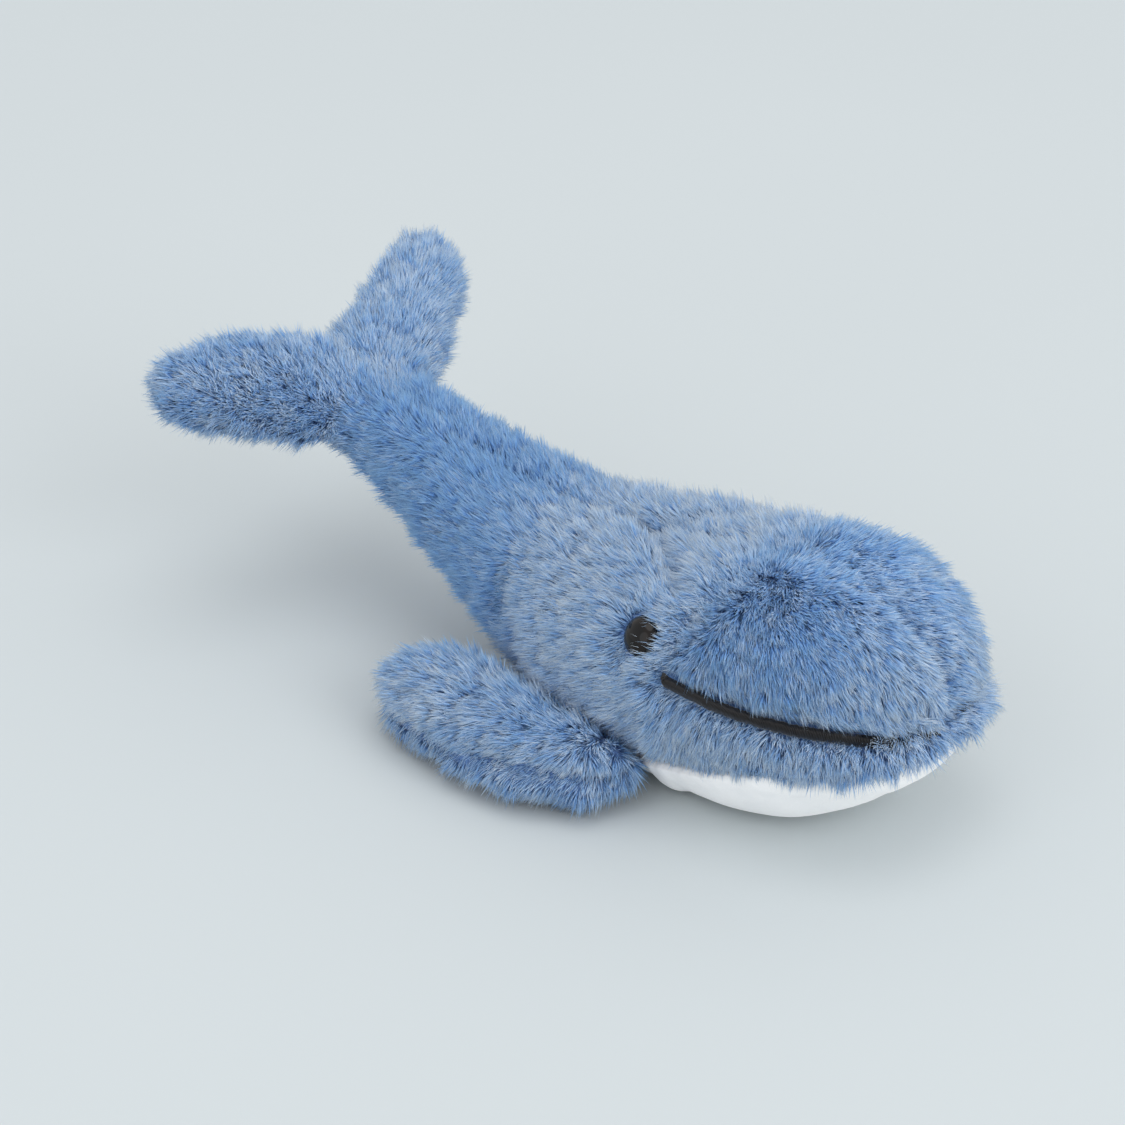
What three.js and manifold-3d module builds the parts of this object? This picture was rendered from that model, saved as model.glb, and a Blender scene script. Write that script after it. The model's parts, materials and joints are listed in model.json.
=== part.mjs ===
// A stuffed plush whale, lying on its belly.
// Millimetres, nose towards -Y, the whale's left towards +X, +Z up. The origin is on the floor,
// in the middle of the flat that the belly rests on.
// Sizes of the body, flukes and fins are those of the sewn cover; the pile stands outside them.

import * as THREE from "three";
import { ParametricGeometry } from "three/addons/geometries/ParametricGeometry.js";
import { mergeVertices } from "three/addons/utils/BufferGeometryUtils.js";
import Module from "manifold-3d";

const wasm = await Module();
wasm.setup();

// Cover fabric
const BACKING = 1.5; // knitted backing that carries the pile
const PILE = 4.5; // brushed blue pile above its backing
const BELLY_PILE = 0.8; // clipped white pile of the belly
const FIT_GAP = 0.3; // clearance between pieces that touch
const REST_FLAT = 0.5; // depth to which the belly is pressed flat by the floor

// Outline of the body from snout to tail: place along the body, half of its width,
// height of the back and height of the underside
const SNOUT = { y: -76, half: 39, back: 79, under: 5 };
const CROWN = { y: -44, half: 39, back: 77, under: 0 };
const SHOULDER = { y: -6, half: 39.5, back: 70, under: 0 };
const LOIN = { y: 38, half: 33, back: 62.4, under: 0.3 };
const TAIL_ROOT = { y: 68, half: 23.5, back: 60, under: 18 };
const TAIL_STOCK = { y: 102, half: 17.5, back: 65, under: 36 };
const TAIL_END = { y: 134, half: 15, back: 72, under: 52 };
const NOSE_Y = -80.5; // foremost point of the cover
const NOSE_RADIUS = 49; // length over which the snout is domed
const STOCK_END_Y = 148; // where the tail stock closes, between the flukes
const STOCK_END_RADIUS = 14;
const BACK_ROUNDNESS = 2.2; // power of the section's upper half: 2 is an ellipse, more is squarer
const BELLY_ROUNDNESS = 2.7; // power of its lower half
const SEAM_DIP = 2.5; // how far the seam along the back draws the cover in
const SEAM_REACH = 9; // how far to each side that dip runs out

// Seams between the panels of the cover
const BELLY_SEAM_HEIGHT = 14.4; // height of the belly panel's edge above the origin
const BELLY_SEAM_RISE = 16.5; // degrees by which that edge climbs towards the chin
const MOUTH_CORNER_Y = -12.5;
const MOUTH_LEVEL = 41.2; // height of the mouth at the front of the snout
const MOUTH_CORNER_LIFT = 4.5; // how much higher its corner is
const MOUTH_CURVE = 0.47; // power of that lift along the mouth: 1 is a straight line
const SNOUT_SEAM_LEAN = 22; // degrees by which the seam over the brow leans forward

// Mouth stitching
const STITCH_RADIUS = 1.7;
const STITCH_STANDOFF = 1.2; // middle of the stitching above the backing
const STITCH_FRONT = 5; // distance of its front end from the middle seam
const STITCH_STEPS = 10;
const PILE_PART = 3; // half of the width to which the pile is parted above the stitching

// Eyes
const EYE_Y = -2;
const EYE_HEIGHT = 52.5;
const EYE_RADIUS = 6;
const EYE_DOME = 4.2; // height of the dome
const EYE_RIM = 0.8; // straight edge under the dome
const SHANK_RADIUS = 2.2;
const SHANK_LENGTH = 9;
const WASHER_RADIUS = 6.5;
const WASHER_THICKNESS = 1.2;
const WASHER_SEAT = 1.5; // room for the curve of the cover above the flat washer

// Flukes: flat stuffed lobes set on the end of the tail stock
const FLUKE_ROOT = { y: 139, z: 65 };
const FLUKE_PITCH = 30; // degrees by which the pair tips up behind
const FLUKE_SWEEP = 25; // degrees by which each lobe points backwards
const FLUKE_LENGTH = 70; // middle of the tail to the tip of a lobe
const FLUKE_ROOT_CHORD = 17; // half of the width at the root
const FLUKE_TIP_CHORD = 9.5; // half of the width towards the tip
const FLUKE_BULGE = 1; // extra half width in the middle
const FLUKE_THICKNESS = 6.3; // half of the thickness
const FLUKE_INNER = 14; // how far a lobe runs past the middle, inside its twin

// Fins: paddles that lie back along the flanks
const FIN_ROOT = { x: 34, y: 1 };
const FIN_BEND = { x: 61, y: 8 };
const FIN_TIP = { x: 46, y: 80 };
const FIN_ROOT_CHORD = 13; // half of the width at the root
const FIN_TIP_CHORD = 16; // half of the width towards the tip
const FIN_BULGE = 3.5; // extra half width in the middle
const FIN_THICKNESS = 7.5; // half of the thickness
const FIN_FLOOR_GAP = 0.6; // height of the pile above the floor
const FIN_GAP = 0.5; // clearance of a fin's root to the flank

// Bends of the tail: each is a round knuckle in a socket
const TAIL_BEND_Y = 82;
const FLUKE_BEND_Y = 114;
const FLUKE_BEND_LEAN = 25; // degrees by which the tail stock climbs there
const KNUCKLE_ROOM = 1.16; // knuckle radius over half of the body's height there
const KNUCKLE_GAP = 0.4;

// Facets
const BODY_AROUND = 20;
const BODY_ALONG = 16;
const LIMB_AROUND = 10;
const LIMB_ALONG = 8;
const ROUND_SIDES = 16;
const STITCH_SIDES = 6;
const DOME_STEPS = 6;
const BEYOND = 400; // size of cutting blocks, larger than the whole whale
const MERGE_DISTANCE = 1e-4;
const SLIVER = 0.02; // edges shorter than this are taken out after cutting

const SIDES = { right: -1, left: 1 };
const radians = THREE.MathUtils.degToRad;

// Finishes
const bluePile = new THREE.MeshStandardMaterial({ color: 0x6d8fbf, roughness: 0.95, metalness: 0 });
const whitePile = new THREE.MeshStandardMaterial({ color: 0xeef1f4, roughness: 0.9, metalness: 0 });
const fibreFill = new THREE.MeshStandardMaterial({ color: 0xf4f4f1, roughness: 1, metalness: 0 });
const blackThread = new THREE.MeshStandardMaterial({ color: 0x14161a, roughness: 0.7, metalness: 0 });
const eyePlastic = new THREE.MeshStandardMaterial({ color: 0x120d0b, roughness: 0.12, metalness: 0 });
const washerPlastic = new THREE.MeshStandardMaterial({ color: 0xe8e8e4, roughness: 0.5, metalness: 0 });

// Solids

// The closed solid of a geometry, whose corners are merged and whose collapsed faces are dropped.
function solidOf(geometry) {
  const bare = geometry.clone();
  bare.deleteAttribute("normal");
  bare.deleteAttribute("uv");
  const merged = mergeVertices(bare, MERGE_DISTANCE);
  const corners = merged.index.array;
  const kept = [];
  for (let i = 0; i < corners.length; i += 3) {
    const [a, b, c] = corners.slice(i, i + 3);
    if (a !== b && b !== c && c !== a) kept.push(a, b, c);
  }
  return new wasm.Manifold(
    new wasm.Mesh({
      numProp: 3,
      vertProperties: merged.attributes.position.array,
      triVerts: new Uint32Array(kept),
    }),
  );
}

// The geometry of a solid, without the slivers that cutting leaves.
function geometryOf(solid) {
  const mesh = solid.simplify(SLIVER).getMesh();
  const geometry = new THREE.BufferGeometry();
  geometry.setAttribute("position", new THREE.BufferAttribute(mesh.vertProperties, 3));
  geometry.setIndex(new THREE.BufferAttribute(mesh.triVerts, 1));
  geometry.computeVertexNormals();
  return geometry;
}

// A block that fills everything on one side of a plane through a point.
function blockBeyond(point, normal) {
  const block = new THREE.BoxGeometry(BEYOND, BEYOND, BEYOND);
  block.translate(0, 0, BEYOND / 2);
  const turn = new THREE.Quaternion().setFromUnitVectors(new THREE.Vector3(0, 0, 1), normal);
  block.applyQuaternion(turn);
  block.translate(point.x, point.y, point.z);
  return solidOf(block);
}

// Body

const stations = [SNOUT, CROWN, SHOULDER, LOIN, TAIL_ROOT, TAIL_STOCK, TAIL_END];
const outline = new THREE.CubicInterpolant(
  stations.map((s) => s.y),
  stations.flatMap((s) => [s.half, s.back, s.under]),
  3,
);
outline.settings = { endingStart: THREE.ZeroSlopeEnding, endingEnd: THREE.ZeroSlopeEnding };

// How full a form is at a distance from its rounded end: 0 at the end, 1 past the radius.
function roundedEnd(distance, radius) {
  const left = 1 - THREE.MathUtils.clamp(distance / radius, 0, 1);
  return Math.sqrt(1 - left * left);
}

// Place along the body for a share of its length, closer together at the rounded ends.
function alongBody(share, offset) {
  const length = STOCK_END_Y - NOSE_Y + 2 * offset;
  return NOSE_Y - offset + (length * (1 - Math.cos(Math.PI * share))) / 2;
}

// Size of the body's section at a place, with the cover moved outwards by the offset.
function bodySection(y, offset) {
  const [half, back, freeUnder] = outline.evaluate(y);
  const under = Math.max(freeUnder, BELLY_PILE - REST_FLAT);
  const snout = roundedEnd(y - NOSE_Y + offset, NOSE_RADIUS + offset);
  const fullness = snout * roundedEnd(STOCK_END_Y + offset - y, STOCK_END_RADIUS + offset);
  return {
    halfWidth: (half + offset) * fullness,
    middle: (back + under) / 2,
    halfHeight: ((back - under) / 2 + offset) * fullness,
    fullness,
  };
}

// Point of the body's surface: share of its length, angle around it from the whale's left.
function bodyPoint(share, angle, offset, target) {
  const y = alongBody(share, offset);
  const { halfWidth, middle, halfHeight, fullness } = bodySection(y, offset);
  const across = Math.cos(angle);
  const rise = Math.sin(angle);
  const power = 2 / (rise > 0 ? BACK_ROUNDNESS : BELLY_ROUNDNESS);
  const x = halfWidth * Math.sign(across) * Math.abs(across) ** power;
  const z = middle + halfHeight * Math.sign(rise) * Math.abs(rise) ** power;
  const dip = rise > 0 ? SEAM_DIP * fullness * rise * Math.exp(-((x / SEAM_REACH) ** 2)) : 0;
  return target.set(x, y, z - dip);
}

// Closed skin of the whole body and tail stock.
function bodySkin(offset) {
  const skin = new ParametricGeometry(
    (around, along, target) => bodyPoint(along, 2 * Math.PI * (1 - around), offset, target),
    BODY_AROUND,
    BODY_ALONG,
  );
  return solidOf(skin);
}

// Point of the flank at a place and height.
function flankPoint(side, y, z, offset) {
  const { halfWidth, middle, halfHeight } = bodySection(y, offset);
  const rise = Math.min(Math.abs(z - middle) / halfHeight, 1);
  const power = z > middle ? BACK_ROUNDNESS : BELLY_ROUNDNESS;
  return new THREE.Vector3(side * halfWidth * (1 - rise ** power) ** (1 / power), y, z);
}

// Direction straight out of the flank at a place and height.
function flankNormal(side, y, z) {
  const step = FIT_GAP;
  const here = flankPoint(side, y, z, 0);
  const back = flankPoint(side, y + step, z, 0).sub(here);
  const up = flankPoint(side, y, z + step, 0).sub(here);
  return back.cross(up).multiplyScalar(side).normalize();
}

// Limbs

// Closed skin of a flat stuffed limb along a path: an oval section with both ends rounded.
function limbSkin({ path, face, rootChord, tipChord, bulge, thickness }, offset) {
  const length = path.getLength();
  const skin = new ParametricGeometry(
    (around, along, target) => {
      const reach = length + 2 * offset;
      const s = (reach * (1 - Math.cos(Math.PI * along))) / 2 - offset;
      const t = THREE.MathUtils.clamp(s / length, 0, 1);
      const tangent = path.getTangentAt(t);
      const chord = new THREE.Vector3().crossVectors(tangent, face).normalize();
      const root = roundedEnd(s + offset, rootChord + offset);
      const fullness = root * roundedEnd(length + offset - s, tipChord + offset);
      const half = THREE.MathUtils.lerp(rootChord, tipChord, t) + bulge * Math.sin(Math.PI * t);
      const angle = 2 * Math.PI * (1 - around);
      target.copy(path.getPointAt(t)).addScaledVector(tangent, s - t * length);
      target.addScaledVector(chord, (half + offset) * fullness * Math.cos(angle));
      target.addScaledVector(face, (thickness + offset) * fullness * Math.sin(angle));
      return target;
    },
    LIMB_AROUND,
    LIMB_ALONG,
  );
  return solidOf(skin);
}

const flukeBack = new THREE.Vector3(0, Math.cos(radians(FLUKE_PITCH)), Math.sin(radians(FLUKE_PITCH)));
const flukeFace = new THREE.Vector3(0, -flukeBack.z, flukeBack.y);
const flukeRoot = new THREE.Vector3(0, FLUKE_ROOT.y, FLUKE_ROOT.z);

// One lobe of the flukes, from inside its twin to its tip.
function flukeLobe(side) {
  const sweep = radians(FLUKE_SWEEP);
  const axis = new THREE.Vector3(side * Math.cos(sweep), 0, 0);
  axis.addScaledVector(flukeBack, Math.sin(sweep));
  return {
    path: new THREE.LineCurve3(
      flukeRoot.clone().addScaledVector(axis, -FLUKE_INNER),
      flukeRoot.clone().addScaledVector(axis, FLUKE_LENGTH),
    ),
    face: flukeFace,
    rootChord: FLUKE_ROOT_CHORD,
    tipChord: FLUKE_TIP_CHORD,
    bulge: FLUKE_BULGE,
    thickness: FLUKE_THICKNESS,
  };
}

const finHeight = FIN_THICKNESS + PILE + FIN_FLOOR_GAP;

// One fin, from inside the flank to its tip.
function finPaddle(side) {
  const at = ({ x, y }) => new THREE.Vector3(side * x, y, finHeight);
  return {
    path: new THREE.QuadraticBezierCurve3(at(FIN_ROOT), at(FIN_BEND), at(FIN_TIP)),
    face: new THREE.Vector3(0, 0, 1),
    rootChord: FIN_ROOT_CHORD,
    tipChord: FIN_TIP_CHORD,
    bulge: FIN_BULGE,
    thickness: FIN_THICKNESS,
  };
}

// Bends

// Everything behind a bend, with a round knuckle about the bend's own axis.
function behindBend(y, lean, growth) {
  const { middle, halfHeight } = bodySection(y, PILE);
  const radius = halfHeight * KNUCKLE_ROOM + growth;
  const knuckle = new THREE.CylinderGeometry(radius, radius, BEYOND, 2 * ROUND_SIDES);
  knuckle.rotateZ(Math.PI / 2);
  knuckle.translate(0, y, middle);
  const along = new THREE.Vector3(0, Math.cos(radians(lean)), Math.sin(radians(lean)));
  const front = new THREE.Vector3(0, y, middle).addScaledVector(along, -growth);
  return solidOf(knuckle).add(blockBeyond(front, along));
}

// The three stretches of body, tail and flukes of a solid that runs through them all.
function splitAtBends(whole) {
  return {
    body: whole.subtract(behindBend(TAIL_BEND_Y, 0, KNUCKLE_GAP)),
    tail: whole
      .intersect(behindBend(TAIL_BEND_Y, 0, 0))
      .subtract(behindBend(FLUKE_BEND_Y, FLUKE_BEND_LEAN, KNUCKLE_GAP)),
    flukes: whole.intersect(behindBend(FLUKE_BEND_Y, FLUKE_BEND_LEAN, 0)),
  };
}

// Body, tail and flukes as one sewn form, with the cover moved outwards by the offset.
function sewnForm(offset) {
  const lobes = Object.values(SIDES).map((side) => limbSkin(flukeLobe(side), offset));
  return lobes.reduce((form, lobe) => form.add(lobe), bodySkin(offset));
}

const coverInside = sewnForm(-BACKING);
const blueCover = splitAtBends(sewnForm(PILE).subtract(coverInside));
const whiteCover = splitAtBends(sewnForm(BELLY_PILE).subtract(coverInside));
const filling = splitAtBends(sewnForm(-BACKING - FIT_GAP));

// Panels

const halfGap = FIT_GAP / 2;
const floorBlock = blockBeyond(new THREE.Vector3(), new THREE.Vector3(0, 0, -1));
const sideBlock = (side) =>
  blockBeyond(new THREE.Vector3(side * halfGap, 0, 0), new THREE.Vector3(side, 0, 0));

// The edge of the belly panel: a plane that climbs towards the chin.
const bellySeamUp = new THREE.Vector3(
  0,
  Math.sin(radians(BELLY_SEAM_RISE)),
  Math.cos(radians(BELLY_SEAM_RISE)),
);
const bellySeam = new THREE.Vector3(0, 0, BELLY_SEAM_HEIGHT);
const aboveBellySeam = blockBeyond(bellySeam.clone().addScaledVector(bellySeamUp, halfGap), bellySeamUp);
const belowBellySeam = blockBeyond(
  bellySeam.clone().addScaledVector(bellySeamUp, -halfGap),
  bellySeamUp.clone().negate(),
);

// Height of the mouth at a place along the body.
function mouthHeight(y) {
  const share = THREE.MathUtils.clamp((y - NOSE_Y) / (MOUTH_CORNER_Y - NOSE_Y), 0, 1);
  return MOUTH_LEVEL + MOUTH_CORNER_LIFT * share ** MOUTH_CURVE;
}

// The snout's share of the cover: above the mouth and in front of the seam over the brow.
function snoutBlock(shift) {
  const front = NOSE_Y - BEYOND / 2;
  const top = MOUTH_LEVEL + BEYOND / 2;
  const corner = mouthHeight(MOUTH_CORNER_Y);
  const profile = new THREE.Shape();
  profile.moveTo(front, MOUTH_LEVEL);
  for (let i = 0; i <= STITCH_STEPS; i += 1) {
    const y = THREE.MathUtils.lerp(NOSE_Y, MOUTH_CORNER_Y, i / STITCH_STEPS);
    profile.lineTo(y, mouthHeight(y));
  }
  profile.lineTo(MOUTH_CORNER_Y - (top - corner) * Math.tan(radians(SNOUT_SEAM_LEAN)), top);
  profile.lineTo(front, top);
  profile.closePath();
  const block = new THREE.ExtrudeGeometry(profile, { depth: BEYOND, bevelEnabled: false });
  block.translate(-shift, shift, -BEYOND / 2);
  block.applyMatrix4(new THREE.Matrix4().makeBasis(
    new THREE.Vector3(0, 1, 0),
    new THREE.Vector3(0, 0, 1),
    new THREE.Vector3(1, 0, 0),
  ));
  return solidOf(block);
}

const snoutPart = snoutBlock(halfGap);
const snoutCut = snoutBlock(-halfGap);

// Mouth stitching

// Shares of the body's length at which one side of the stitching ends: close to the nose the
// half width grows in step with the share.
const bodyLength = STOCK_END_Y - NOSE_Y;
const noseSpread = SNOUT.half * Math.PI * Math.sqrt(bodyLength / (2 * NOSE_RADIUS));
const stitchFrontShare = STITCH_FRONT / noseSpread;
const stitchCornerShare = Math.acos(1 - (2 * (MOUTH_CORNER_Y - NOSE_Y)) / bodyLength) / Math.PI;

// A round cord that follows one side of the mouth, at a height above the backing.
function mouthCord(side, standoff, radius) {
  const points = [];
  for (let i = 0; i <= STITCH_STEPS; i += 1) {
    const share = THREE.MathUtils.lerp(stitchFrontShare, stitchCornerShare, i / STITCH_STEPS);
    const y = alongBody(share, standoff);
    points.push(flankPoint(side, y, mouthHeight(y), standoff));
  }
  const section = new THREE.Shape().absarc(0, 0, radius, 0, 2 * Math.PI);
  return new THREE.ExtrudeGeometry(section, {
    extrudePath: new THREE.CatmullRomCurve3(points),
    steps: STITCH_STEPS,
    curveSegments: STITCH_SIDES / 2,
    bevelEnabled: false,
  });
}

// The groove that the stitching lies in, opened out to the top of the pile.
function mouthGroove(side) {
  const seat = solidOf(mouthCord(side, STITCH_STANDOFF, STITCH_RADIUS + FIT_GAP));
  const parting = solidOf(mouthCord(side, STITCH_STANDOFF + PILE_PART, PILE_PART));
  return seat.add(parting);
}

// Eyes

// Turns a shape made about the Y axis so that it stands straight out of the flank at the eye.
function eyeSeat(side) {
  const normal = flankNormal(side, EYE_Y, EYE_HEIGHT);
  const turn = new THREE.Quaternion().setFromUnitVectors(new THREE.Vector3(0, 1, 0), normal);
  const place = flankPoint(side, EYE_Y, EYE_HEIGHT, 0);
  return new THREE.Matrix4().compose(place, turn, new THREE.Vector3(1, 1, 1));
}

// A round post from one height to another along the eye's axis.
function eyePost(radius, low, high) {
  const post = new THREE.CylinderGeometry(radius, radius, high - low, ROUND_SIDES);
  return post.translate(0, (low + high) / 2, 0);
}

// Domed eye with the shank that goes through the cover.
function eyeGeometry() {
  const profile = new THREE.Path();
  profile.moveTo(0, -SHANK_LENGTH);
  profile.lineTo(SHANK_RADIUS, -SHANK_LENGTH);
  profile.lineTo(SHANK_RADIUS, FIT_GAP);
  profile.lineTo(EYE_RADIUS, FIT_GAP);
  profile.lineTo(EYE_RADIUS, FIT_GAP + EYE_RIM);
  profile.absellipse(0, FIT_GAP + EYE_RIM, EYE_RADIUS, EYE_DOME, 0, Math.PI / 2, false, 0);
  const points = profile.getPoints(DOME_STEPS / 2);
  points.at(-1).x = 0;
  return new THREE.LatheGeometry(points, ROUND_SIDES);
}

const washerTop = -BACKING - WASHER_SEAT;

// Washer pressed on the shank behind the cover.
function washerGeometry() {
  const bore = SHANK_RADIUS + FIT_GAP;
  const low = washerTop - WASHER_THICKNESS;
  const ring = [
    new THREE.Vector2(bore, low),
    new THREE.Vector2(WASHER_RADIUS, low),
    new THREE.Vector2(WASHER_RADIUS, washerTop),
    new THREE.Vector2(bore, washerTop),
    new THREE.Vector2(bore, low),
  ];
  return new THREE.LatheGeometry(ring, ROUND_SIDES);
}

// Room for the eye in the pile and for its shank in the backing.
function eyeRoom(side) {
  const pocket = eyePost(EYE_RADIUS + FIT_GAP, 0, EYE_DOME + 2 * PILE).applyMatrix4(eyeSeat(side));
  const hole = eyePost(SHANK_RADIUS + FIT_GAP, -2 * SHANK_LENGTH, PILE).applyMatrix4(eyeSeat(side));
  return solidOf(pocket).add(solidOf(hole));
}

// Room for the shank and the washer in the stuffing.
function washerRoom(side) {
  const room = eyePost(WASHER_RADIUS + FIT_GAP, -SHANK_LENGTH - FIT_GAP, PILE);
  return solidOf(room.applyMatrix4(eyeSeat(side)));
}

// The whale

const whale = new THREE.Group();

// Adds a named piece made of a solid or a geometry.
function addPiece(name, shape, material, seat) {
  const mesh = new THREE.Mesh(shape.isBufferGeometry ? shape : geometryOf(shape), material);
  mesh.name = name;
  if (seat) mesh.applyMatrix4(seat);
  whale.add(mesh);
}

const bodyCover = blueCover.body.intersect(aboveBellySeam).subtract(floorBlock);
const bellyCover = whiteCover.body.intersect(belowBellySeam).subtract(floorBlock);
const bodyFilling = Object.values(SIDES).reduce(
  (left, side) => left.subtract(washerRoom(side)),
  filling.body,
);

addPiece("belly_panel", bellyCover, whitePile);
addPiece("body_stuffing", bodyFilling, fibreFill);
addPiece("tail_stuffing", filling.tail, fibreFill);

const aboveFlukes = blockBeyond(flukeRoot.clone().addScaledVector(flukeFace, halfGap), flukeFace);
const belowFlukes = blockBeyond(
  flukeRoot.clone().addScaledVector(flukeFace, -halfGap),
  flukeFace.clone().negate(),
);
const finMiddle = new THREE.Vector3(0, 0, finHeight);
const up = new THREE.Vector3(0, 0, 1);
const aboveFins = blockBeyond(finMiddle.clone().addScaledVector(up, halfGap), up);
const belowFins = blockBeyond(finMiddle.clone().addScaledVector(up, -halfGap), up.clone().negate());
const flankRoom = bodySkin(PILE + FIN_GAP);

for (const [name, side] of Object.entries(SIDES)) {
  const half = sideBlock(side);
  const groove = mouthGroove(side);
  const seat = eyeSeat(side);
  const cover = bodyCover.intersect(half).subtract(groove);
  addPiece(`${name}_side_panel`, cover.subtract(snoutCut).subtract(eyeRoom(side)), bluePile);
  addPiece(`${name}_snout_panel`, cover.intersect(snoutPart), bluePile);
  addPiece(`${name}_mouth_stitching`, mouthCord(side, STITCH_STANDOFF, STITCH_RADIUS), blackThread);
  addPiece(`${name}_eye`, eyeGeometry(), eyePlastic, seat);
  addPiece(`${name}_eye_washer`, washerGeometry(), washerPlastic, seat);
  addPiece(`${name}_tail_panel`, blueCover.tail.intersect(half), bluePile);

  const flukeHalf = blueCover.flukes.intersect(half);
  addPiece(`${name}_fluke_top_panel`, flukeHalf.intersect(aboveFlukes), bluePile);
  addPiece(`${name}_fluke_under_panel`, flukeHalf.intersect(belowFlukes), bluePile);
  addPiece(`${name}_fluke_stuffing`, filling.flukes.intersect(half), fibreFill);

  const paddle = finPaddle(side);
  const finOutside = limbSkin(paddle, PILE).subtract(flankRoom);
  const finCover = finOutside.subtract(limbSkin(paddle, -BACKING));
  addPiece(`${name}_fin_top_panel`, finCover.intersect(aboveFins), bluePile);
  addPiece(`${name}_fin_under_panel`, finCover.intersect(belowFins), bluePile);
  const finFill = limbSkin(paddle, -BACKING - FIT_GAP).subtract(flankRoom);
  addPiece(`${name}_fin_stuffing`, finFill, fibreFill);
}

export default whale;
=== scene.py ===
# %% [markdown]
# # A plush whale
#
# A stuffed whale lies on its belly with its tail raised. Its blue cover is long, brushed pile, its belly is
# clipped white pile, its mouth is a line of black satin stitches and its eyes are domed safety eyes.
# The lesson builds the cover as a toy maker would: a stuffed form, cut into panels at its seams, and then
# the pile that grows on each panel.

# %% The fixed frame
import json
import math

import bmesh
import bpy
import numpy as np
from mathutils import Matrix, Vector, noise
from mathutils.bvhtree import BVHTree
from mathutils.kdtree import KDTree

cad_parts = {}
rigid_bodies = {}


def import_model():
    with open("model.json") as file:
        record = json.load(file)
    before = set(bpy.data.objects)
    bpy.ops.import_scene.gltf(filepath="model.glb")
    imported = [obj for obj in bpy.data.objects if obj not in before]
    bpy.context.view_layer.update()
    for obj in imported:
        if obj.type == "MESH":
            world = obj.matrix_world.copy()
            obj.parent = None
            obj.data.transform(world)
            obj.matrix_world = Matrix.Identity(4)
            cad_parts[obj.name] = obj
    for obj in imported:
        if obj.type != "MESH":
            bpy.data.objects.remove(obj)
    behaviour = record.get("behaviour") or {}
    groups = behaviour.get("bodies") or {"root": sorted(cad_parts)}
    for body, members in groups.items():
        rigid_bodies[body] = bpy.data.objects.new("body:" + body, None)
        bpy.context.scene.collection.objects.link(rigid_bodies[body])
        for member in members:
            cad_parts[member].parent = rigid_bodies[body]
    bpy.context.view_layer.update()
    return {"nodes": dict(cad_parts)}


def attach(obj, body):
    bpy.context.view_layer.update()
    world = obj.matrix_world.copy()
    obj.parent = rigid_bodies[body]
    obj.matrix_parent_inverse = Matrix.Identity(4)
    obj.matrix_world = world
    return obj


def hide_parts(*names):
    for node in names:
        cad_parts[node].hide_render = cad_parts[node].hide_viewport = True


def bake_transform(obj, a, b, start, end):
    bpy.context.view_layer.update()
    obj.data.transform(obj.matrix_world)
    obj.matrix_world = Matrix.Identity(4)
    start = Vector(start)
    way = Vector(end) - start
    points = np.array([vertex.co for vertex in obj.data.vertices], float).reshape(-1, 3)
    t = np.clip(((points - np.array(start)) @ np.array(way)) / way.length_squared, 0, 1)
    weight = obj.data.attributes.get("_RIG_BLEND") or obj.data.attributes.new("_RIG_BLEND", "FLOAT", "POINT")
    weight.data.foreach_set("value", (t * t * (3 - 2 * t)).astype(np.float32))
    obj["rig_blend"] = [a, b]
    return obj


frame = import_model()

scene = bpy.context.scene
SIDES = {"right": -1, "left": 1}
MM = 0.001
NOISE_SEED = 1

# Blender's noise vectors start from the clock, so without a seed the pile would lie differently each time.
noise.seed_set(NOISE_SEED)

# %% [markdown]
# ## The camera
#
# A camera is a place, a turn and a lens. The three were found by laying the outline of the solids over the
# picture, so they are written here as plain numbers: about a metre away, looking down by thirty degrees
# at the whale's right cheek, through a long lens that keeps the tail from shrinking.

# %% Camera
camera_data = bpy.data.cameras.new("camera")
camera = bpy.data.objects.new("camera", camera_data)
scene.collection.objects.link(camera)
scene.camera = camera
camera_data.sensor_width = 36
camera_data.lens = 110.7
camera.location = (-0.6511, -0.5199, 0.5489)
camera.rotation_euler = (math.radians(59.57), 0, math.radians(-48.34))
print("camera at", tuple(round(c, 3) for c in camera.location))

# %% [markdown]
# ## Small helpers
#
# A solid from the frame is made of loose triangles, so a copy has its doubles merged before it is used.
# Modifiers are put into the mesh as soon as they have done their work, because the next step needs the
# real vertices.

# %% Helpers
def new_object(name, bm):
    """Puts a bmesh into a new object of the scene."""
    mesh = bpy.data.meshes.new(name)
    bm.to_mesh(mesh)
    bm.free()
    obj = bpy.data.objects.new(name, mesh)
    scene.collection.objects.link(obj)
    return obj


def merged_copy(*names):
    """A bmesh of copies of solids, with the doubles merged."""
    bm = bmesh.new()
    for name in names:
        bm.from_mesh(frame["nodes"][name].data)
    bmesh.ops.remove_doubles(bm, verts=bm.verts, dist=0.01 * MM)
    return bm


def solid_tree(name):
    """A search tree of the faces of one solid."""
    bm = merged_copy(name)
    tree = BVHTree.FromBMesh(bm)
    bm.free()
    return tree


def bake_modifiers(obj):
    """Puts the result of an object's modifiers into its mesh."""
    depsgraph = bpy.context.evaluated_depsgraph_get()
    mesh = bpy.data.meshes.new_from_object(obj.evaluated_get(depsgraph))
    obj.modifiers.clear()
    old = obj.data
    obj.data = mesh
    bpy.data.meshes.remove(old)
    mesh.name = obj.name


def coordinates(mesh):
    """All vertex places of a mesh as rows of three numbers."""
    rows = np.zeros(len(mesh.vertices) * 3, np.float32)
    mesh.vertices.foreach_get("co", rows)
    return rows.reshape(-1, 3).astype(float)


def directions(mesh):
    """All vertex normals of a mesh as rows of three numbers."""
    rows = np.zeros(len(mesh.vertices) * 3, np.float32)
    mesh.vertex_normals.foreach_get("vector", rows)
    return rows.reshape(-1, 3).astype(float)


def unit(rows):
    """Rows of three numbers, each scaled to a length of one."""
    return rows / np.maximum(np.linalg.norm(rows, axis=-1, keepdims=True), 1e-9)


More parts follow.
